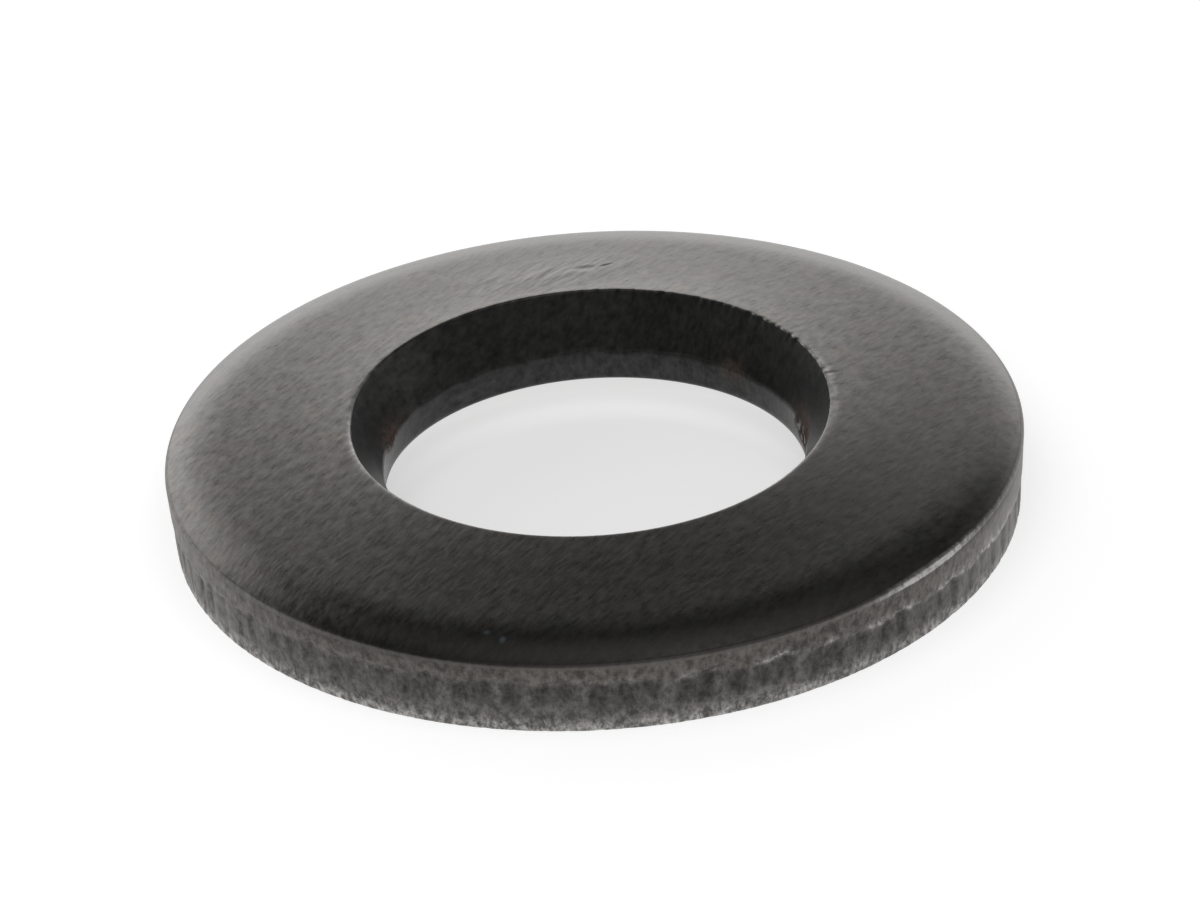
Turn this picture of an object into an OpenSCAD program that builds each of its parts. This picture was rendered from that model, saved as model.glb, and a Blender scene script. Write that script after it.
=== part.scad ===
// Conical spring washer for an 8 mm screw: a ring blanked and pierced from spring strip,
// then pressed into a shallow cone. It stands on its outer bottom edge, hole side up.

/* [Cone] */
// Largest diameter, at the crease under the rolled top edge
outer_d = 17.8; // [16:0.1:20]
// Thickness of the strip, square to its faces
sheet_t = 1.87; // [1.6:0.01:2.2]
// Slope of both faces, in degrees
cone_angle = 8; // [4:0.5:11]

/* [Rim] */
// How far in from the rim the top face starts to roll over
roll_w = 1.03; // [0.7:0.01:1.4]
// Depth of the crease below the top face
roll_drop = 0.27; // [0.15:0.01:0.4]
// How much smaller the foot edge is than the crease, on the radius
rim_lean = 0.14; // [0.06:0.01:0.25]

/* [Bore] */
// Narrowest diameter of the hole, on its smooth land
bore_d = 8.74; // [8:0.02:9.4]
// Radius of the rounded bottom edge of the hole
bore_edge_r = 0.15; // [0.05:0.01:0.25]
// Height of the smooth land
land_h = 0.56; // [0.4:0.01:0.8]
// How far the torn wall opens out above the land, on the radius
bore_flare = 0.66; // [0.4:0.01:0.8]

/* [Torn band of the rim] */
// Number of torn flutes round the rim
rim_flutes = 96; // [40:1:97]
// Mean height of the break line, where the smooth band ends and the torn one starts
break_h = 0.9; // [0.7:0.01:1.2]
// How far the break line rises on one side of the rim and falls on the other
break_rise = 0.2; // [0:0.01:0.25]
// Direction in which the break line is highest, in degrees
break_side = 250; // [0:5:355]
// Depth of the deepest flutes, just under the break line
rim_flute_depth = 0.05; // [0.03:0.005:0.07]
// Radius across the bottom of a flute
rim_flute_r = 0.22; // [0.12:0.01:0.22]

/* [Torn wall of the bore] */
// Number of torn flutes in the ragged part of the wall
bore_flutes = 20; // [8:1:22]
// How far round the bore the ragged part goes, in degrees
ragged_arc = 100; // [95:5:330]
// Direction of the middle of the ragged part, in degrees
ragged_side = 45; // [0:5:355]
// Depth of the deepest flutes, where they notch the mouth
bore_flute_depth = 0.07; // [0.03:0.005:0.1]
// Radius across the bottom of a flute
bore_flute_r = 0.15; // [0.1:0.01:0.15]

/* [Hidden] */
$fn = 96;

steel = "#4b4a48";
// How far flutes stray sideways, as a share of their pitch, and up or down, in millimetres
stray_side = 0.12;
stray_rim = 0.07;
stray_bore = 0.35;
// Depth of the shallowest flute, as a share of the deepest
shallowest = 0.45;
// Share of a rim flute's depth that is left where it reaches the foot edge
foot_share = 0.25;
// Wall left whole between the land and the thin end of the longest bore flute
land_margin = 0.06;

outer_r = outer_d / 2;
foot_r = outer_r - rim_lean;
bore_r = bore_d / 2;
mouth_r = bore_r + bore_flare;

// Height of the bottom and the top face at a radius
function bottom_z(r) = (foot_r - r) * tan(cone_angle);
function top_z(r) = bottom_z(r) + sheet_t / cos(cone_angle);

// Rim: crease, start of the roll, and the arc that joins them tangent to the top face
face_up = [sin(cone_angle), cos(cone_angle)];
crease = [outer_r, top_z(outer_r) - roll_drop];
roll_start = [outer_r - roll_w, top_z(outer_r - roll_w)];
roll_chord = crease - roll_start;
roll_r = (roll_chord * roll_chord) / (-2 * (roll_chord * face_up));
roll_centre = roll_start - roll_r * face_up;

// Bore: the rounded bottom edge, the land above it and the mouth
edge_centre = [
    bore_r + bore_edge_r,
    bottom_z(bore_r + bore_edge_r) + bore_edge_r / cos(cone_angle)
];
land_top = edge_centre[1] + land_h;
mouth = [mouth_r, top_z(mouth_r)];
wall_lean = atan(bore_flare / (mouth[1] - land_top));

// Radius of the rim at a height, and the height at which it would meet the unrolled top face
function rim_r(z) = foot_r + rim_lean * z / crease[1];
rim_tilt = atan(rim_lean / crease[1]);
brow_z = top_z(foot_r) / (1 + tan(rim_tilt) * tan(cone_angle));

// Section before its edges are rounded
sharp_section = [
    [foot_r, 0],
    [rim_r(brow_z), brow_z],
    mouth,
    [bore_r, land_top],
    [bore_r, bottom_z(bore_r)]
];

// What a rounding takes off a corner: everything past the arc, between two sides of a sector
module past_arc(centre, r, far_points) {
    difference() {
        polygon(concat([centre], far_points));
        translate(centre) circle(r = r);
    }
}

// Half section of the ring, with the rolled rim and the bore's bottom edge as true arcs
module section() {
    difference() {
        polygon(sharp_section);
        past_arc(roll_centre, roll_r, [
            [outer_r + roll_r, roll_centre[1]],
            [outer_r + roll_r, roll_centre[1] + 2 * roll_r],
            roll_centre + 2 * roll_r * face_up
        ]);
        past_arc(edge_centre, bore_edge_r, [
            [bore_r - bore_edge_r, edge_centre[1]],
            [bore_r - bore_edge_r, edge_centre[1] - 2 * bore_edge_r],
            edge_centre - 2 * bore_edge_r * face_up
        ]);
    }
}

// Where flute i strays, from -1 to 1: side, level and depth each turn by a step of their own,
// so that no two flutes in a row are alike
function side(i) = sin(137.5 * i);
function level(i) = sin(222.5 * i);
function share(i) = 1 - (1 - shallowest) * (1 + sin(99.5 * i)) / 2;

// Round cutter for one torn flute, from overrun before its deep end to its thin end along +Z.
// The wall is the plane X = 0, with its metal on the side of -X.
module flute(length, depth, r, overrun = 0) {
    rotate([0, atan(depth / length), 0])
        translate([r - depth, 0, -overrun])
            cylinder(h = overrun + 1.1 * length, r = r);
}

// Torn band of the rim: flutes that start in a ledge at the break line and fade down to the foot edge
module rim_torn_band() {
    for (i = [0 : rim_flutes - 1]) {
        turn = (i + 0.5 + stray_side * side(i)) * 360 / rim_flutes;
        start = break_h + break_rise * cos(turn - break_side) + stray_rim * level(i);
        rotate([0, 0, turn])
            translate([rim_r(start), 0, start])
                rotate([0, 180 + rim_tilt, 0])
                    mirror([1, 0, 0])
                        flute(start / (1 - foot_share), share(i) * rim_flute_depth, rim_flute_r);
    }
}

// Torn wall of the bore: flutes that notch the mouth and fade down towards the land.
// They are deepest in the middle of the ragged part.
module bore_torn_wall() {
    wall_length = bore_flare / sin(wall_lean);
    for (i = [0 : bore_flutes - 1]) {
        off = ((i + 0.5 + stray_side * side(i)) / bore_flutes - 0.5) * ragged_arc;
        depth = share(i) * bore_flute_depth * cos(off * 120 / ragged_arc);
        length = wall_length - land_margin - stray_bore * (1 + level(i)) / 2;
        rotate([0, 0, ragged_side + off])
            translate([mouth[0], 0, mouth[1]])
                rotate([0, 180 + wall_lean, 0])
                    flute(length, depth, bore_flute_r, overrun = bore_flute_r);
    }
}

module spring_washer() {
    color(steel)
        difference() {
            rotate_extrude() section();
            rim_torn_band();
            bore_torn_wall();
        }
}

spring_washer();
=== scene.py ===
import math
import bpy
import numpy as np
from mathutils import Matrix, Vector


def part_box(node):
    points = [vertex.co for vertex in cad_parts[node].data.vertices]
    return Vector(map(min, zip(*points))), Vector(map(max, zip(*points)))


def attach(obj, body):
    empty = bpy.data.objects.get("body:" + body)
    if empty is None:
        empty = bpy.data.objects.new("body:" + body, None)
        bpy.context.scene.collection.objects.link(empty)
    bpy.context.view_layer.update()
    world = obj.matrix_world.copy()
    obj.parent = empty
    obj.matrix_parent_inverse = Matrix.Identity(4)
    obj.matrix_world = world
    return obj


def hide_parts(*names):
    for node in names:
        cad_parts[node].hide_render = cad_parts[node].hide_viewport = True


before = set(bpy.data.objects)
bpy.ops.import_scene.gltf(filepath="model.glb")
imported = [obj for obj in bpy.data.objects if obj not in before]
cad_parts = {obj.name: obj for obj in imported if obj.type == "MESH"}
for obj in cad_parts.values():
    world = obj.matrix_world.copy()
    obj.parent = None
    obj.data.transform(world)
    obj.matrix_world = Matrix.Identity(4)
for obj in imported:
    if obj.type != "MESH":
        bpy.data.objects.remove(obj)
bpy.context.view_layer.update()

MM = 0.001
RIM_RADIUS = 8.9 * MM
RIM_RADIUS_IN_PIXELS = 429.8
FRAME_WIDTH_IN_PIXELS = 1200
SENSOR_WIDTH = 36.0
CAMERA_DISTANCE = 40 * RIM_RADIUS
CAMERA_ELEVATION = math.radians(30.47)
CAMERA_ROLL = math.radians(3.89)
# How far the middle of the frame lies from the washer's centre, to the right and up
AIM_RIGHT = 0.03 * MM
AIM_UP = 1.18 * MM


def add_camera():
    """Places the camera on a ray at its elevation in front of the washer, aims it beside the
    centre of the base and turns it about its own axis by the roll."""
    back = Vector((0, -math.cos(CAMERA_ELEVATION), math.sin(CAMERA_ELEVATION)))
    level = Vector((1, 0, 0))
    upright = back.cross(level)
    right = math.cos(CAMERA_ROLL) * level - math.sin(CAMERA_ROLL) * upright
    up = math.sin(CAMERA_ROLL) * level + math.cos(CAMERA_ROLL) * upright
    place = CAMERA_DISTANCE * back
    aim = AIM_RIGHT * right + AIM_UP * up
    back = (place - aim).normalized()
    right = up.cross(back).normalized()
    up = back.cross(right)
    data = bpy.data.cameras.new("camera")
    data.sensor_width = SENSOR_WIDTH
    focal_in_pixels = RIM_RADIUS_IN_PIXELS * CAMERA_DISTANCE / RIM_RADIUS
    data.lens = focal_in_pixels * SENSOR_WIDTH / FRAME_WIDTH_IN_PIXELS
    data.clip_start = 0.1 * CAMERA_DISTANCE
    data.clip_end = 20 * CAMERA_DISTANCE
    camera = bpy.data.objects.new("camera", data)
    turn = Matrix((right, up, back)).transposed().to_4x4()
    camera.matrix_world = Matrix.Translation(place) @ turn
    bpy.context.scene.collection.objects.link(camera)
    bpy.context.scene.camera = camera


add_camera()


# Table. A plain board under the washer, painted a matt pale grey. A faint glow makes it white
# for the camera and in the steel, and it keeps the soft shadow of the washer.
TABLE_SIZE = 1.2
TABLE_COLOR = (0.52, 0.52, 0.52, 1)
TABLE_GLOW = 0.67
# The glow is fainter inside the washer's hole, as painted shade on the floor there. It grows from
# one strength to the other between two distances from a place in the hole, a little in front of its
# middle.
TABLE_GLOW_IN_HOLE = 0.475
FAINTEST_PLACE = (0, -0.8 * MM, 0)
FAINT_TO = 4.5 * MM
FULL_FROM = 5.8 * MM


def add_node(tree, kind, inputs=(), **settings):
    """Adds a shader node with its settings. An input given as a socket is linked to it, and any
    other input is set to the value given."""
    made = tree.nodes.new(kind)
    for name, value in settings.items():
        setattr(made, name, value)
    for name, value in dict(inputs).items():
        if isinstance(value, bpy.types.NodeSocket):
            tree.links.new(value, made.inputs[name])
        else:
            made.inputs[name].default_value = value
    return made


def empty_tree(owner):
    """The node tree of a material, a world or a lamp, cleared of the nodes it starts with."""
    owner.use_nodes = True
    owner.node_tree.nodes.clear()
    return owner.node_tree


def seen_or_mirrored(tree):
    """1 for rays that come from the camera or from a mirroring or clear surface, 0 for others."""
    light_path = add_node(tree, "ShaderNodeLightPath").outputs
    total = light_path["Is Camera Ray"]
    for name in ("Is Glossy Ray", "Is Transmission Ray"):
        total = add_node(
            tree, "ShaderNodeMath", {0: total, 1: light_path[name]}, operation="ADD", use_clamp=True
        ).outputs[0]
    return total


def table_paint():
    """Matt paint, with a faint even glow for the rays that seen_or_mirrored picks out, and less of
    it inside the washer's hole, as painted shade there."""
    material = bpy.data.materials.new("pale_table_paint")
    tree = empty_tree(material)
    matt = add_node(tree, "ShaderNodeBsdfDiffuse", {"Color": TABLE_COLOR})
    place = add_node(tree, "ShaderNodeTexCoord").outputs["Object"]
    away = add_node(
        tree, "ShaderNodeVectorMath", {0: place, 1: FAINTEST_PLACE}, operation="DISTANCE"
    ).outputs["Value"]
    glow_here = add_node(
        tree,
        "ShaderNodeMapRange",
        {
            "Value": away, "From Min": FAINT_TO, "From Max": FULL_FROM,
            "To Min": TABLE_GLOW_IN_HOLE, "To Max": TABLE_GLOW,
        },
    ).outputs[0]
    strength = add_node(
        tree, "ShaderNodeMath", {0: seen_or_mirrored(tree), 1: glow_here}, operation="MULTIPLY"
    )
    glow = add_node(tree, "ShaderNodeEmission", {"Strength": strength.outputs[0]})
    both = add_node(tree, "ShaderNodeAddShader", {0: matt.outputs[0], 1: glow.outputs[0]})
    add_node(tree, "ShaderNodeOutputMaterial", {"Surface": both.outputs[0]})
    return material


def add_table():
    """One square face at height zero."""
    half = TABLE_SIZE / 2
    mesh = bpy.data.meshes.new("table")
    corners = [(-half, -half, 0), (half, -half, 0), (half, half, 0), (-half, half, 0)]
    mesh.from_pydata(corners, [], [(0, 1, 2, 3)])
    mesh.materials.append(table_paint())
    table = bpy.data.objects.new("table", mesh)
    bpy.context.scene.collection.objects.link(table)


add_table()


# Light. A wide soft lamp over the table does most of the lighting. The steel mirrors only the
# room round it, which is pale near the table, brightest behind the washer and dark overhead,
# and three soft boxes, one behind on the left, one in front and one low on the right.
LAMP_SIZE = 1.2
LAMP_PLACE = Vector((-0.15, -0.3, 0.9))
LAMP_POWER = 5.0
DARK_SIDE = Vector((0.15, -0.2, 1)).normalized()
# Brightness of the room, by the cosine of the angle from its dark side
ROOM = [
    (-0.3, 2.0), (0.0, 1.7), (0.1, 1.05), (0.2, 0.85), (0.3, 0.75),
    (0.42, 0.44), (0.55, 0.02), (0.75, 0.05), (0.95, 0.2),
]
ROOM_BRIGHTEST = 2.0
# Direction of each soft box, its distance, its size and its brightness
SOFT_BOXES = {
    "box_behind_left": (Vector((-0.5, 0.7, 0.5)), 0.5, 0.22, 0.8),
    "box_in_front": (Vector((0.3, -0.8, 0.5)), 0.5, 0.8, 0.33),
    "box_on_the_right": (Vector((0.97, 0.05, 0.22)), 0.5, 0.08, 3.5),
}


def add_lamp(name, place, size, power, mirrored):
    """A square lamp that faces the washer, and shows in the steel only if mirrored is true."""
    data = bpy.data.lights.new(name, "AREA")
    data.size = size
    data.energy = power
    lamp = bpy.data.objects.new(name, data)
    lamp.location = place
    lamp.rotation_euler = place.to_track_quat("Z", "Y").to_euler()
    lamp.visible_glossy = mirrored
    bpy.context.scene.collection.objects.link(lamp)


def add_room():
    """A world whose brightness is read off a ramp by the cosine of the angle between the
    direction and the dark side."""
    world = bpy.data.worlds.new("room")
    bpy.context.scene.world = world
    tree = empty_tree(world)
    direction = add_node(tree, "ShaderNodeTexCoord").outputs["Generated"]
    cosine = add_node(
        tree, "ShaderNodeVectorMath", {0: direction, 1: DARK_SIDE}, operation="DOT_PRODUCT"
    ).outputs["Value"]
    place = add_node(
        tree, "ShaderNodeMapRange", {"Value": cosine, "From Min": -1.0, "From Max": 1.0}
    ).outputs[0]
    ramp = add_node(tree, "ShaderNodeValToRGB", {"Fac": place})
    stops = ramp.color_ramp.elements
    while len(stops) < len(ROOM):
        stops.new(0.5)
    for stop, (cosine_there, brightness) in zip(stops, ROOM):
        stop.position = (cosine_there + 1) / 2
        stop.color = (*[brightness / ROOM_BRIGHTEST] * 3, 1)
    shade = add_node(
        tree, "ShaderNodeBackground", {"Color": ramp.outputs[0], "Strength": ROOM_BRIGHTEST}
    )
    white = add_node(tree, "ShaderNodeBackground", {"Color": (1, 1, 1, 1), "Strength": 1.0})
    seen = add_node(tree, "ShaderNodeLightPath").outputs["Is Camera Ray"]
    both = add_node(
        tree, "ShaderNodeMixShader", {0: seen, 1: shade.outputs[0], 2: white.outputs[0]}
    )
    add_node(tree, "ShaderNodeOutputWorld", {"Surface": both.outputs[0]})


add_room()
add_lamp("lamp_overhead", LAMP_PLACE, LAMP_SIZE, LAMP_POWER, mirrored=False)
for name, (towards, distance, size, brightness) in SOFT_BOXES.items():
    power = brightness * math.pi * size**2
    add_lamp(name, towards.normalized() * distance, size, power, mirrored=True)


# Spring washer. One ring, blanked and pierced from spring strip, then pressed into a cone,
# hardened and blackened. Its sheared edges keep what the tools left: a rolled lip and a
# smooth band where the tool cut, and a torn, fluted band where the metal broke.
NODE = "spring_washer"
AROUND = 960
cad_low, cad_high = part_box(NODE)
OUTER_R = min(cad_high.x, cad_high.y, -cad_low.x, -cad_low.y)
CONE_ANGLE = math.radians(8)
SHEET = 1.87 * MM
ROLL_WIDTH = 1.45 * MM
ROLL_DROP = 0.27 * MM
ROLL_POWER = 3.1
RIM_LEAN = 0.14 * MM
FOOT_R = OUTER_R - RIM_LEAN
BORE_R = 4.37 * MM
BORE_EDGE_R = 0.15 * MM
LAND_HEIGHT = 0.56 * MM
BORE_FLARE = 0.66 * MM
MOUTH_R = BORE_R + BORE_FLARE

# A point of the ring's half section is a complex number: its radius plus its height times 1j.
# A row of the surface holds one such point for every angle round the ring. Directions are given
# in degrees: 0 is the right end, 90 the back, 180 the left end and 270 the front.
angle = np.linspace(0, 2 * math.pi, AROUND, endpoint=False)[None, :]
face_out = math.cos(CONE_ANGLE) - 1j * math.sin(CONE_ANGLE)


def bottom_height(r):
    """Height of the lower face at a radius: a straight line that falls to nothing at the foot."""
    return (FOOT_R - r) * math.tan(CONE_ANGLE)


def top_height(r):
    """Height of the upper face at a radius: the lower face raised by the strip's thickness."""
    return bottom_height(r) + SHEET / math.cos(CONE_ANGLE)


def rolled_edge(r):
    """The upper face where it rolls over at the rim: it falls away from its straight line with a
    power of the distance past the start of the roll."""
    past_start = np.maximum(r - OUTER_R + ROLL_WIDTH, 0) / ROLL_WIDTH
    return r + 1j * (top_height(r) - ROLL_DROP * past_start**ROLL_POWER)


def turned_from(centre):
    """Every angle less a direction given in degrees, between half a turn back and half on."""
    return (angle - math.radians(centre) + math.pi) % (2 * math.pi) - math.pi


def bell(value, centre, half_width):
    """Bell curve of a value, 1 at its centre and 1/e at its half width from there."""
    return np.exp(-(((value - centre) / half_width) ** 2))


def hump(centre, half_width):
    """Bell curve round the ring, 1 at its centre and 1/e at its half width, in degrees."""
    return bell(turned_from(centre), 0, math.radians(half_width))


def plateau(centre, half_width):
    """Like a hump, with a flat top and steeper sides."""
    return np.exp(-((turned_from(centre) / math.radians(half_width)) ** 4))


def all_round(point):
    """A point, or rows of points, at every angle round the ring."""
    return point + 0 * angle


def waves(along, low, high, count, seed, slant=0.0):
    """Seamless noise round the ring, about -1 to 1: a sum of cosines, each with a whole number
    of turns between low and high, a random phase, and a drift of that phase along the section
    by up to slant radians a millimetre."""
    draw = np.random.default_rng(seed)
    total = 0
    for turns in draw.integers(low, high + 1, count):
        phase = draw.uniform(0, 2 * math.pi)
        drift = draw.uniform(-slant, slant) / MM
        total = total + np.cos(turns * angle + phase + drift * along)
    return total * math.sqrt(2 / count) / 2


# No two flutes in a row are alike: place, level and depth each turn by a step of their own, in
# degrees. Flutes stray sideways by a share of their pitch, and up or down by a length.
STRAY_SIDE = 0.12
STRAY_RIM = 0.06 * MM
STRAY_BORE = 0.35 * MM
SHALLOWEST = 0.45


def side(i):
    """How far flute i strays sideways, from -1 to 1."""
    return np.sin(np.radians(137.5 * i))


def level(i):
    """How far flute i strays up or down, from -1 to 1."""
    return np.sin(np.radians(222.5 * i))


def share(i):
    """Depth of flute i as a share of the deepest."""
    return 1 - (1 - SHALLOWEST) * (1 + np.sin(np.radians(99.5 * i))) / 2


def deepest_cut(turns, depths, radius, round_r):
    """What a row of round-bottomed flutes takes off a wall: at each angle the deepest of every
    flute's depth less the square of the distance from its middle over twice its round."""
    cut = 0
    for turn, depth in zip(turns, depths):
        away = turned_from(turn) * radius
        cut = np.maximum(cut, depth - away**2 / (2 * round_r))
    return cut


def straight(start, end, rows):
    """Rows along a straight side without its ends, closer together near the ends."""
    how_far = (1 - np.cos(math.pi * np.arange(1, rows + 1) / (rows + 1))) / 2
    return start + how_far[:, None] * (end - start)


def rounded(before, corner, after, reach, rows, past=None):
    """Rows round a corner: a parabola from reach before the corner to reach past it, or to
    another length past it where one is given."""
    first = corner + reach * (before - corner) / np.abs(before - corner)
    last = corner + (reach if past is None else past) * (after - corner) / np.abs(after - corner)
    t = np.linspace(0, 1, rows)[:, None]
    return (1 - t) ** 2 * first + 2 * t * (1 - t) * corner + t**2 * last


def arc(centre, radius, first, last, rows):
    """Rows along an arc, between two directions of the section in radians."""
    turn = np.linspace(first, last, rows)[:, None]
    return all_round(centre + radius * np.exp(1j * turn))


# The rim is smooth under the roll and torn below its break line. That line rises once and twice
# round the ring, highest in front, strays up and down with the flutes, and is finely jagged.
RIM_FLUTES = 96
RIM_FLUTE_DEPTH = 0.05 * MM
RIM_FLUTE_R = 0.22 * MM
FOOT_SHARE = 0.25
BREAK_HEIGHT = 0.9 * MM
BREAK_RISE = 0.2 * MM
BREAK_DOUBLE_RISE = 0.12 * MM
BREAK_SIDE = 253
BREAK_JAGS = 0.035 * MM
RIM_LUMP_DEPTH = 0.012 * MM
RIM_SCRATCH_DEPTH = 0.004 * MM
crease_z = top_height(OUTER_R) - ROLL_DROP
rim_flute = np.arange(RIM_FLUTES)
rim_turns = (rim_flute + 0.5 + STRAY_SIDE * side(rim_flute)) * 360 / RIM_FLUTES
flute_level = np.interp(np.degrees(angle), rim_turns, level(rim_flute), period=360)
break_z = BREAK_HEIGHT + BREAK_RISE * np.cos(turned_from(BREAK_SIDE))
break_z = break_z + BREAK_DOUBLE_RISE * np.cos(2 * turned_from(BREAK_SIDE))
break_z = break_z + STRAY_RIM * flute_level + BREAK_JAGS * waves(0, 90, 240, 24, seed=1)


def rim(z, cut=0.0):
    """The sheared rim at a height, on its straight lean from the foot to the crease, less a cut."""
    return FOOT_R + (OUTER_R - FOOT_R) * z / crease_z - cut + 1j * z


def torn_rim_cut(z):
    """Depth torn off the rim below the break line: the flutes, lumps and fine scratches that run
    down the band, all fading towards the foot."""
    fade = FOOT_SHARE + (1 - FOOT_SHARE) * z / break_z
    depths = [deep * RIM_FLUTE_DEPTH * fade for deep in share(rim_flute)]
    flutes = deepest_cut(rim_turns, depths, FOOT_R, RIM_FLUTE_R)
    lumps = RIM_LUMP_DEPTH * (1 + waves(z, 30, 110, 30, seed=2, slant=1.2))
    scratches = RIM_SCRATCH_DEPTH * (1 + waves(z, 150, 330, 60, seed=3, slant=0.8))
    return flutes + np.maximum(lumps + scratches, 0) * fade


# The bore has a smooth land below and a torn wall above, ragged at the mouth on one side. The
# flutes are shallower than on the solid model, and bite into the wall near the mouth only.
BORE_FLUTES = 20
BORE_FLUTE_DEPTH = 0.07 * MM
BORE_FLUTE_R = 0.15 * MM
BORE_FLUTE_BITE = 0.35
BORE_LUMP_DEPTH = 0.004 * MM
MOUTH_NOTCH_DEPTH = 0.010 * MM
RAGGED_ARC = 100
RAGGED_SIDE = 45
LAND_MARGIN = 0.06 * MM
LAND_TOP_WAVER = 0.05 * MM
edge_r = BORE_R + BORE_EDGE_R
edge_centre = edge_r + 1j * (bottom_height(edge_r) + BORE_EDGE_R / math.cos(CONE_ANGLE))
land_top_z = edge_centre.imag + LAND_HEIGHT
mouth = MOUTH_R + 1j * top_height(MOUTH_R)
wall = mouth - (BORE_R + 1j * land_top_z)
wall_lean = math.pi / 2 - np.angle(wall)
bore_flute = np.arange(BORE_FLUTES)
bore_off = ((bore_flute + 0.5 + STRAY_SIDE * side(bore_flute)) / BORE_FLUTES - 0.5) * RAGGED_ARC
bore_depths = share(bore_flute) * BORE_FLUTE_DEPTH * np.cos(np.radians(bore_off * 120 / RAGGED_ARC))
bore_lengths = abs(wall) - LAND_MARGIN - STRAY_BORE * (1 + level(bore_flute)) / 2
ragged = hump(RAGGED_SIDE, RAGGED_ARC / 2)
land_wave = 1j * LAND_TOP_WAVER * waves(0, 4, 26, 14, seed=6)
# The mouth was torn a little off centre, so that on the right it lies nearer to the axis
MOUTH_OFF_CENTRE = 0.10 * MM
mouth_shift = MOUTH_OFF_CENTRE * hump(5, 45)


def torn_wall(height_share):
    """The bore's torn wall at a share of its height: its straight line, moved outwards along the
    top face by the flutes, lumps and scratches, which are deepest at the mouth."""
    from_mouth = (1 - height_share) * abs(wall)
    depths = [
        deep * np.maximum(1 - from_mouth / length, 0)
        for deep, length in zip(bore_depths, bore_lengths)
    ]
    flutes = deepest_cut(RAGGED_SIDE + bore_off, depths, MOUTH_R, BORE_FLUTE_R)
    lumps = 0.6 + waves(from_mouth, 20, 80, 30, seed=4, slant=4)
    notches = waves(from_mouth, 90, 170, 20, seed=5, slant=3)
    cut = BORE_FLUTE_BITE * flutes * height_share**7
    cut = cut + BORE_LUMP_DEPTH * (0.2 + ragged) * height_share * lumps
    cut = cut + MOUTH_NOTCH_DEPTH * (0.1 + ragged) * height_share**9 * notches
    out = np.maximum(cut, 0) / math.cos(wall_lean - CONE_ANGLE) - mouth_shift * height_share
    start = BORE_R + 1j * land_top_z + land_wave * (1 - height_share)
    return start + wall * height_share + face_out * out


# The section's corners, and its sides between them, from the foot edge up the rim, in over the top
# face, down the bore and out along the lower face. First, how far the round of each corner reaches
# along its sides. The crease is rounder where it carries its painted highlight, and the mouth where
# it is worn and carries painted highlights.
FOOT_ROUND = 0.03 * MM
HIGHLIT_CREASE = 319
CREASE_ROUND = (0.07 + 0.02 * hump(HIGHLIT_CREASE, 9)) * MM
MOUTH_ROUND = (0.05 + 0.15 * hump(2, 28) + 0.07 * hump(195, 25)) * MM
MOUTH_ROUND_INSIDE = (0.035 + 0.07 * hump(182, 14)) * MM
LAND_ROUND = 0.05 * MM
# The rows of a curved side keep clear of a corner by this many times the reach of its round
CLEAR = 1.2
# Rows of the ledge under the break line: their heights from the line, the share of the cut each
# one takes, and how far it is torn
LEDGE_HEIGHTS = np.array([[-0.06], [-0.02], [0.01], [0.04]]) * MM
LEDGE_CUT = np.array([[1.0], [0.75], [0.2], [0.0]])
LEDGE_TORN = np.array([[1.0], [0.9], [0.4], [0.0]])
# The torn band's rows start this high above the foot and end this far below the break line
BAND_LOW = 2 * FOOT_ROUND
BAND_BELOW_BREAK = 0.096 * MM
BAND_ROWS = 23
ROLL_ROWS = 14
WALL_ROWS = 17

foot = rim(0, torn_rim_cut(0))
band_share = np.linspace(0, 1, BAND_ROWS)[:, None]
band_z = BAND_LOW + (break_z - BAND_BELOW_BREAK - BAND_LOW) * band_share
torn_band = rim(band_z, torn_rim_cut(band_z))
ledge_z = break_z + LEDGE_HEIGHTS
ledge = rim(ledge_z, torn_rim_cut(np.minimum(ledge_z, break_z)) * LEDGE_CUT)
crease = all_round(OUTER_R + 1j * crease_z)
below_crease = rim(crease_z - CREASE_ROUND)
roll_share = np.linspace(0, 1, ROLL_ROWS)[:, None]
roll_from = CLEAR * CREASE_ROUND
roll = rolled_edge(OUTER_R - roll_from - (ROLL_WIDTH - roll_from) * roll_share)
lowest_share = CLEAR * LAND_ROUND / abs(wall)
highest_share = 1 - CLEAR * MOUTH_ROUND_INSIDE / abs(wall)
wall_share = np.linspace(1, 0, WALL_ROWS)[:, None]
wall_rows = torn_wall(lowest_share + (highest_share - lowest_share) * wall_share)
mouth_edge = torn_wall(1)
before_mouth = mouth_edge + MOUTH_ROUND * face_out
land_top = torn_wall(0)
land_low = all_round(BORE_R + 1j * edge_centre.imag)
bore_edge = arc(edge_centre, BORE_EDGE_R, math.pi, 1.5 * math.pi - CONE_ANGLE, 5)
inner_corner = BORE_R + 1j * bottom_height(BORE_R)

# Where the black has worn off: on the foot edge, on the crease, the roll beside it and the mouth in
# some directions, and in fragments along the break line, most of them in front on the right. On the
# crease, the mouth and the break line the bared steel is also a painted highlight, strongest on the
# crease at the right front.
foot_worn = 0.75 * bell(band_z, 0, 0.24 * MM)
# Worn steel on the crease, painted strongly as a painted highlight at the right front
crease_worn_and_highlit = 2.5 * hump(HIGHLIT_CREASE, 7) + 0.4 * hump(335, 12)
roll_worn = 0.35 * hump(283, 18) * bell(np.abs(roll - crease), 0, 0.25 * MM)
# Wear on the mouth's edge, painted brighter still as a painted highlight
mouth_worn_and_highlit = 0.5 * hump(185, 35) + 0.6 * hump(10, 35)
fragments = np.maximum(0.5 + waves(0, 12, 60, 20, seed=7), 0)
break_worn_and_highlit = fragments * (hump(305, 26) + 0.5 * hump(80, 60)) + 0.9 * hump(336, 12)
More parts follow.
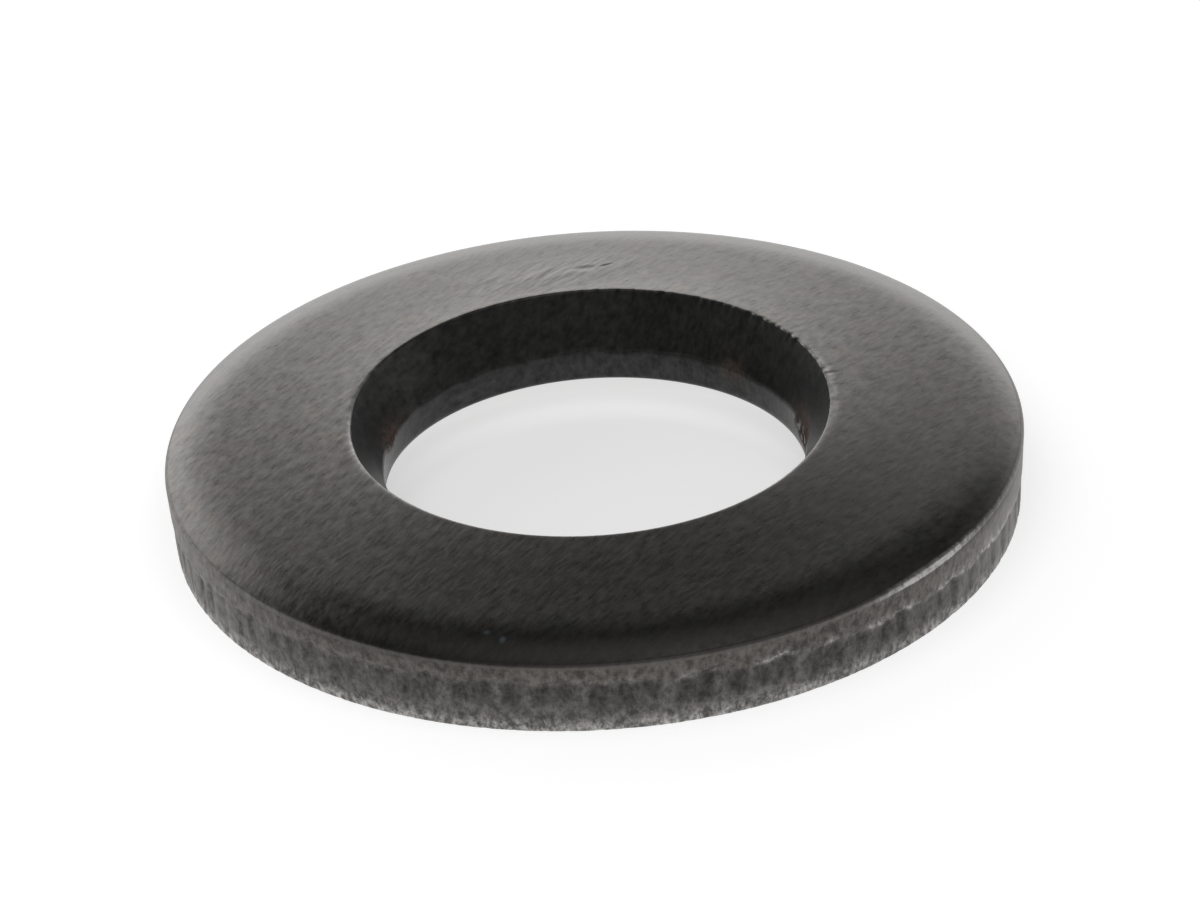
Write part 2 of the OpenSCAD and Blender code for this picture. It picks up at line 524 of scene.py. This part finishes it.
# Wear and painted highlight along the break line, for the ledge rows and the rows above them
LEDGE_WORN_AND_HIGHLIT = np.array([[0.0], [0.3], [0.6], [0.6]])
SMOOTH_BAND_WORN_AND_HIGHLIT = np.array([[0.4], [0.15], [0.0], [0.0], [0.0], [0.0]])
MOUTH_ROWS_WORN_AND_HIGHLIT = np.array([[0.3], [1.0], [1.0], [0.6], [0.0]])
MOUTH_ROWS_IN_BORE = np.array([[0.0], [0.0], [0.0], [0.4], [1.0]])

# Each stretch of the section, with four marks: how far it is torn, whether it lies in the bore or
# on the sheared rim, and how far it shows bared steel, as wear and as painted highlight
stretches = [
    (rounded(inner_corner, foot, torn_band[:1], FOOT_ROUND, 5), 1.0, 0.0, 1.0, 0.9),
    (torn_band, 1.0, 0.0, 1.0, foot_worn),
    (ledge, LEDGE_TORN, 0.0, 1.0, LEDGE_WORN_AND_HIGHLIT * break_worn_and_highlit),
    (straight(ledge[-1:], below_crease, 6), 0.0, 0.0, 1.0, SMOOTH_BAND_WORN_AND_HIGHLIT * break_worn_and_highlit),
    (rounded(below_crease, crease, roll[:1], CREASE_ROUND, 7), 0.0, 0.0, 0.5, crease_worn_and_highlit),
    (roll, 0.0, 0.0, 0.0, roll_worn),
    (straight(roll[-1:], before_mouth, 8), 0.0, 0.0, 0.0, 0.0),
    (
        rounded(before_mouth, mouth_edge, wall_rows[:1], MOUTH_ROUND, 5, past=MOUTH_ROUND_INSIDE),
        0.0, MOUTH_ROWS_IN_BORE, 0.0, MOUTH_ROWS_WORN_AND_HIGHLIT * mouth_worn_and_highlit,
    ),
    (wall_rows, 1.0, 1.0, 0.0, 0.0),
    (rounded(wall_rows[-1:], land_top, land_low, LAND_ROUND, 3), 0.5, 1.0, 0.0, 0.0),
    (straight(land_top, land_low, 3), 0.0, 1.0, 0.0, 0.0),
    (bore_edge, 0.0, 1.0, 0.0, 0.0),
    (straight(bore_edge[-1:], foot, 3), 0.0, 0.0, 0.0, 0.0),
]
section = np.concatenate([all_round(rows) for rows, *marks in stretches])
torn, bore, sheared, worn_and_highlit = (
    np.concatenate([marks[k] + np.zeros(all_round(rows).shape) for rows, *marks in stretches])
    for k in range(4)
)

# How dark or pale the black is, as a factor on its colour: mostly painted shade and painted
# highlights, and a paler top face by the mouth. Heights, radii, distances and lengths are in
# millimetres here. The half width of a tongue of painted shadow is a share of the flutes' pitch.
FLUTE_SHADOW_HALF_WIDTH = 0.4
FLUTE_SHADOW_START = 0.07
FLUTE_SHADOW_DARKNESS = 0.5
flute_shadow_lengths = 0.28 + 0.42 * share(rim_flute)
height = section.imag / MM
from_axis = section.real / MM
from_crease = np.abs(section - crease) / MM
under_crease = crease_z / MM - height
under_break = break_z / MM - height
land_top_height = land_top_z / MM


def painted_flute_shadow(turn, length):
    """One dark tongue of painted shadow, in the hollow under the break line where a flute starts,
    which hangs from the line. It is flat across its width and ends softly, most sharply at the
    line."""
    pitches_away = turned_from(turn) * RIM_FLUTES / (2 * math.pi)
    across = np.exp(-((pitches_away / FLUTE_SHADOW_HALF_WIDTH) ** 4))
    past_start = 1 / (1 + np.exp((FLUTE_SHADOW_START - under_break) / 0.02))
    before_end = 1 / (1 + np.exp((under_break - length) / 0.06))
    return across * past_start * before_end


# Painted shadow in the hollows of the flutes under the break line, strongest in front and at the
# back
painted_flute_shadows = sum(painted_flute_shadow(turn, length) for turn, length in zip(rim_turns, flute_shadow_lengths))
painted_flute_shadows = np.minimum(painted_flute_shadows, 1) * (0.3 + 0.7 * (hump(275, 48) + hump(95, 60)))
shade = np.where(torn * sheared > 0.5, 1 - FLUTE_SHADOW_DARKNESS * painted_flute_shadows, 1)

# Painted shade darkens the smooth band of the rim under the crease on the left and at the right
# end, and the band is darker in front on the right. Between crease and foot both ends of the rim
# are painted paler, as a painted highlight.
smooth_band = sheared * (1 - torn)
mid_rim = np.clip((height - 0.2) / 0.3, 0, 1) * np.clip((under_crease - 0.15) / 0.1, 0, 1)
shade = shade - 0.35 * hump(235, 28) * bell(under_crease, 0, 0.25) * smooth_band
shade = shade - 0.7 * hump(336, 11) * bell(under_crease, 0, 0.24) * sheared
shade = shade - 0.12 * hump(297, 14) * smooth_band
shade = shade + (0.45 * hump(338, 13) + 0.2 * hump(205, 12)) * sheared * mid_rim

# Painted shade darkens the rolled edge beside the crease in front, along the middle of the roll in
# front, and at the right end. The top face is paler towards the mouth.
unsheared = 1 - sheared
upper_side = unsheared * (height > 1.5)
by_mouth = np.where(height > 1.8, bell(from_axis, 5, 0.9), 0) * (1 - bore)
shade = shade - 0.4 * plateau(262, 42) * bell(from_crease, 0, 0.2) * unsheared
shade = shade - 0.25 * hump(265, 50) * bell(from_axis, 8.2, 0.2) * upper_side
shade = shade - 0.5 * hump(336, 13) * bell(from_axis, 8.65, 0.25) * upper_side
shade = shade + 0.3 * by_mouth

# In the bore, the torn wall is painted paler on the far left, as painted light, and darker on the
# far right, as painted shade. Painted shade darkens the land at both sides, and the land is darker
# under its upper border
torn_bore = bore * torn
land = bore * (1 - torn)
shade = shade + (0.2 * hump(145, 25) - 0.5 * hump(35, 28)) * torn_bore
shade = shade - (0.5 * hump(12, 15) + 0.3 * hump(167, 13)) * land
shade = shade - 0.15 * bell(height, land_top_height, 0.2) * land

# How strongly the grain shows: least on the front of the faces and on the right end of the rim,
# which are worn smooth
grainy = 1 - 0.75 * plateau(285, 65) * unsheared - 0.6 * hump(345, 20) * sheared

# Rust, in a few brown stains along the upper border of the land, and a larger one on the right
stains = 0.6 * hump(47, 4) + 0.8 * hump(163, 7) + 0.6 * hump(290, 20) + 0.6 * hump(230, 9)
stains = stains * bell(height, land_top_height, 0.22)
stain_on_the_right = 1.3 * hump(7, 10) * bell(height, 1.2, 0.35)
rust = bore * np.minimum(stains + stain_on_the_right, 1)


def washer_mesh():
    """One closed surface: every row of the section is turned into points round the axis, and
    each point is joined to the next in its row and to the row after, both of which close. The
    marks go with the points."""
    places = np.stack(
        [section.real * np.cos(angle), section.real * np.sin(angle), section.imag], axis=-1
    )
    index = np.arange(section.size).reshape(section.shape)
    beside, above = np.roll(index, -1, axis=1), np.roll(index, -1, axis=0)
    quads = np.stack([index, beside, np.roll(above, -1, axis=1), above], axis=-1).reshape(-1, 4)
    mesh = bpy.data.meshes.new(NODE)
    mesh.vertices.add(section.size)
    mesh.vertices.foreach_set("co", places.ravel())
    mesh.loops.add(quads.size)
    mesh.loops.foreach_set("vertex_index", quads.ravel())
    mesh.polygons.add(len(quads))
    mesh.polygons.foreach_set("loop_start", np.arange(0, quads.size, 4))
    mesh.update(calc_edges=True)
    mesh.shade_smooth()
    marks = {
        "torn": torn, "bore": bore, "sheared": sheared, "worn_and_highlit": worn_and_highlit,
        "shade": shade, "rust": rust, "grainy": grainy,
    }
    for name, values in marks.items():
        mesh.attributes.new(name, "FLOAT", "POINT").data.foreach_set("value", values.ravel())
    return mesh


def finish_node(kind, inputs=(), **settings):
    """A node of the steel's finish, added to its tree."""
    return add_node(finish_tree, kind, inputs, **settings)


def mark(name):
    """A value painted on the mesh."""
    return finish_node("ShaderNodeAttribute", attribute_name=name).outputs["Fac"]


def math_of(operation, *values, clamp=False):
    """Result of a sum on one, two or three sockets or numbers."""
    made = finish_node(
        "ShaderNodeMath", dict(enumerate(values)), operation=operation, use_clamp=clamp
    )
    return made.outputs[0]


def grain(stretch, scale, detail=2.0, roughness=0.5, turn=0.0):
    """Noise on the washer's own coordinates in millimetres, 0 to 1 with a mean of a half. Its
    features are 1/scale wide, and a stretch above 1 makes them shorter along that axis. The
    pattern's X axis is turned by the angle given, in degrees, about the washer's axis."""
    place = finish_node(
        "ShaderNodeMapping",
        {
            "Vector": finish_node("ShaderNodeTexCoord").outputs["Object"],
            "Rotation": (0, 0, -math.radians(turn)),
            "Scale": (1 / MM, 1 / MM, 1 / MM),
        },
        vector_type="POINT",
    )
    stretched = finish_node(
        "ShaderNodeVectorMath", {0: place.outputs[0], 1: stretch}, operation="MULTIPLY"
    )
    return finish_node(
        "ShaderNodeTexNoise",
        {"Vector": stretched.outputs[0], "Scale": scale, "Detail": detail, "Roughness": roughness},
    ).outputs["Fac"]


def between(share_of_second, first, second):
    """Mix of two colours, each a socket or a colour."""
    made = finish_node(
        "ShaderNodeMix", {0: share_of_second, 6: first, 7: second}, data_type="RGBA"
    )
    return made.outputs[2]


def number_between(share_of_second, first, second):
    """Mix of two numbers, each a socket or a number."""
    made = finish_node(
        "ShaderNodeMix", {0: share_of_second, 2: first, 3: second}, data_type="FLOAT"
    )
    return made.outputs[0]


def ranged(value, from_min, from_max, to_min=0.0, to_max=1.0):
    """A value moved from one range to another, held at its ends."""
    ends = {"From Min": from_min, "From Max": from_max, "To Min": to_min, "To Max": to_max}
    return finish_node("ShaderNodeMapRange", {"Value": value, **ends}).outputs[0]


def spot(x, y, half_length, half_width, turn):
    """An elliptic mark on the upper side, 1 in its middle, which fades to 0 at its outline: its
    place and half axes in millimetres, and the turn of its length in degrees."""
    place = finish_node(
        "ShaderNodeMapping",
        {
            "Vector": finish_node("ShaderNodeTexCoord").outputs["Object"],
            "Location": (x * MM, y * MM, 0),
            "Rotation": (0, 0, math.radians(turn)),
            "Scale": (half_length * MM, half_width * MM, 1.0),
        },
        vector_type="TEXTURE",
    )
    away = finish_node("ShaderNodeVectorMath", {0: place.outputs[0]}, operation="LENGTH")
    return ranged(away.outputs["Value"], 0.0, 1.0, 1.0, 0.0)


def largest(values):
    """The largest of several values at each point."""
    most = values[0]
    for value in values[1:]:
        most = math_of("MAXIMUM", most, value)
    return most


# Finish of the steel: a thin black oxide over bare steel, so that it mirrors the room weakly.
# The faces keep the strip's rolling grain, sheared metal is rougher, worn edges are paler, some of
# them painted paler still as a painted highlight, and rust lies on it as a dull brown crust.
WARM_STEEL = (0.148, 0.139, 0.130, 1)
COOL_STEEL = (0.142, 0.138, 0.133, 1)
RIM_STEEL = (0.104, 0.097, 0.090, 1)
TORN_STEEL = (0.106, 0.101, 0.095, 1)
# The bore's steel is darker than the rim's, partly with painted shade of the hollow in its colour
BORE_LAND_STEEL_WITH_SHADE = (0.046, 0.047, 0.046, 1)
BORE_TORN_STEEL_WITH_SHADE = (0.036, 0.035, 0.034, 1)
RUST = (0.10, 0.066, 0.053, 1)
# Bared steel, for wear and for the painted highlights on the crease, the mouth and the break line
WORN_AND_HIGHLIT_STEEL = (0.40, 0.39, 0.38, 1)
DUST = (0.30, 0.37, 0.42, 1)
# Direction of the rolling grain, in degrees
GRAIN_TURN = 52
finish = bpy.data.materials.new("blackened_spring_steel")
finish_tree = empty_tree(finish)
is_torn, is_bore, is_sheared, is_worn_and_highlit = mark("torn"), mark("bore"), mark("sheared"), mark("worn_and_highlit")

# Noises: broad clouds, the rolling grain as mottle and streaks, scuffs along it, and the crumbly
# surface of sheared metal
cloud = grain((1, 1, 1), 1.6, detail=1)
mottle = grain((0.85, 1.2, 1), 3.8, detail=3, roughness=0.7, turn=GRAIN_TURN)
streaks = grain((0.5, 1.7, 1), 6.5, detail=1, turn=GRAIN_TURN)
scuffs = grain((0.4, 1.4, 1), 3.2, detail=1, turn=GRAIN_TURN)
crumb = grain((1, 1, 0.75), 6, detail=3, roughness=0.75)
rolled = math_of("ADD", math_of("MULTIPLY", mottle, 0.65), math_of("MULTIPLY", streaks, 0.35))

face_color = between(ranged(cloud, 0.4, 0.6), COOL_STEEL, WARM_STEEL)
rim_color = between(is_torn, RIM_STEEL, TORN_STEEL)
# The bore's colours hold painted shade of the hollow as well as the steel's own dark tint
bore_color_with_shade = between(is_torn, BORE_LAND_STEEL_WITH_SHADE, BORE_TORN_STEEL_WITH_SHADE)
color = between(is_sheared, face_color, rim_color)
color = between(is_bore, color, bore_color_with_shade)
rusty = math_of("MULTIPLY", mark("rust"), ranged(grain((1, 1, 1), 4, detail=2), 0.36, 0.48))
color = between(rusty, color, RUST)
# Bared steel where worn, and painted highlight on some edges
bared_and_highlit = math_of("MULTIPLY", is_worn_and_highlit, ranged(crumb, 0.4, 0.62, 0.3, 1.0), clamp=True)
color = between(bared_and_highlit, color, WORN_AND_HIGHLIT_STEEL)

# Marks on the upper side: a scuffed patch with two dents at the back, scratches across it and at
# the mouth, a nick in the mouth's edge, a dark patch, and two specks of pale dust by the front edge
scuffed = spot(-0.7, 6.1, 2.3, 0.9, 10)
dents = largest([spot(0.05, 6.27, 0.28, 0.17, 10), spot(0.5, 6.35, 0.2, 0.08, 30)])
nick = spot(5.02, 0.94, 0.18, 0.09, 28)
rubbed = largest(
    [
        spot(-2.15, 5.60, 0.28, 0.05, 62),
        spot(-1.75, 6.00, 0.35, 0.05, 45),
        spot(-1.00, 6.00, 0.25, 0.06, 40),
        spot(-0.33, 6.20, 0.32, 0.07, 55),
        spot(0.35, 6.60, 0.30, 0.05, 50),
        spot(5.35, 0.62, 0.18, 0.05, 52),
    ]
)
dark_patch = spot(5.55, 5.45, 0.6, 0.3, 20)
dust = largest([spot(-2.43, -7.80, 0.09, 0.08, 0), spot(-2.12, -8.05, 0.11, 0.09, 60)])

# Tone, a factor on the colour: the grain, the painted shade and painted highlights marked on the
# mesh, and the single marks
FACE_CONTRAST = 0.37
RIM_CONTRAST = 0.43
face_tone = ranged(rolled, 0.35, 0.65, -FACE_CONTRAST, FACE_CONTRAST)
rim_tone = ranged(crumb, 0.35, 0.65, -RIM_CONTRAST, RIM_CONTRAST)
tone = number_between(is_sheared, face_tone, rim_tone)
tone = math_of("MULTIPLY_ADD", tone, mark("grainy"), 1.0)
tone = math_of("MULTIPLY", tone, mark("shade"))
# The dents and the nick are painted darker, as painted shade in their hollows, and the dark patch
# is darker too
dark = largest([nick, math_of("MULTIPLY", dents, 0.7), math_of("MULTIPLY", dark_patch, 0.4)])
marked = math_of("SUBTRACT", 1.0, math_of("MULTIPLY", dark, 0.5))
marked = math_of("ADD", marked, math_of("MULTIPLY", rubbed, 0.35))
tone = math_of("MULTIPLY", tone, marked)
color = finish_node("ShaderNodeVectorMath", {0: color, "Scale": tone}, operation="SCALE").outputs[0]
color = between(dust, color, DUST)

SHEARED_ROUGHNESS = 0.46
roughness = ranged(rolled, 0.38, 0.62, 0.27, 0.35)
rough_metal = math_of("MAXIMUM", is_torn, is_sheared)
roughness = number_between(rough_metal, roughness, SHEARED_ROUGHNESS)
roughness = math_of("MAXIMUM", roughness, rusty)

# Relief too fine for the mesh: the grain of the faces, scuffs, the crumbled surface of the
# sheared edges, and the dents
FACE_RELIEF = 0.003 * MM
SHEARED_RELIEF = 0.012 * MM
SCUFF_RELIEF = 0.03 * MM
DENT_DEPTH = 0.015 * MM
scuff_height = math_of("MULTIPLY", scuffs, math_of("MULTIPLY", scuffed, SCUFF_RELIEF))
face_height = math_of("ADD", math_of("MULTIPLY", streaks, FACE_RELIEF), scuff_height)
face_height = math_of("MULTIPLY", face_height, math_of("SUBTRACT", 1.0, is_bore))
crumbled = math_of("MAXIMUM", is_sheared, math_of("MULTIPLY", is_bore, 0.5))
rim_height = math_of("MULTIPLY", math_of("MULTIPLY", crumb, SHEARED_RELIEF), crumbled)
pits = math_of("MAXIMUM", dents, math_of("MULTIPLY", nick, 0.4))
relief_height = math_of("ADD", face_height, rim_height)
relief_height = math_of("SUBTRACT", relief_height, math_of("MULTIPLY", pits, DENT_DEPTH))
relief = finish_node("ShaderNodeBump", {"Height": relief_height, "Distance": 1.0, "Strength": 1.0})
steel = finish_node(
    "ShaderNodeBsdfPrincipled",
    {
        "Metallic": math_of("SUBTRACT", 1.0, rusty),
        "Specular IOR Level": 0.1,
        "Base Color": color,
        "Roughness": roughness,
        "Normal": relief.outputs[0],
    },
)
finish_node("ShaderNodeOutputMaterial", {"Surface": steel.outputs[0]})

mesh = washer_mesh()
mesh.materials.append(finish)
washer = bpy.data.objects.new("washer_ring", mesh)
bpy.context.scene.collection.objects.link(washer)
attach(washer, "root")
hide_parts(NODE)

# Plain colours
bpy.context.scene.view_settings.view_transform = "Standard"
bpy.context.view_layer.update()
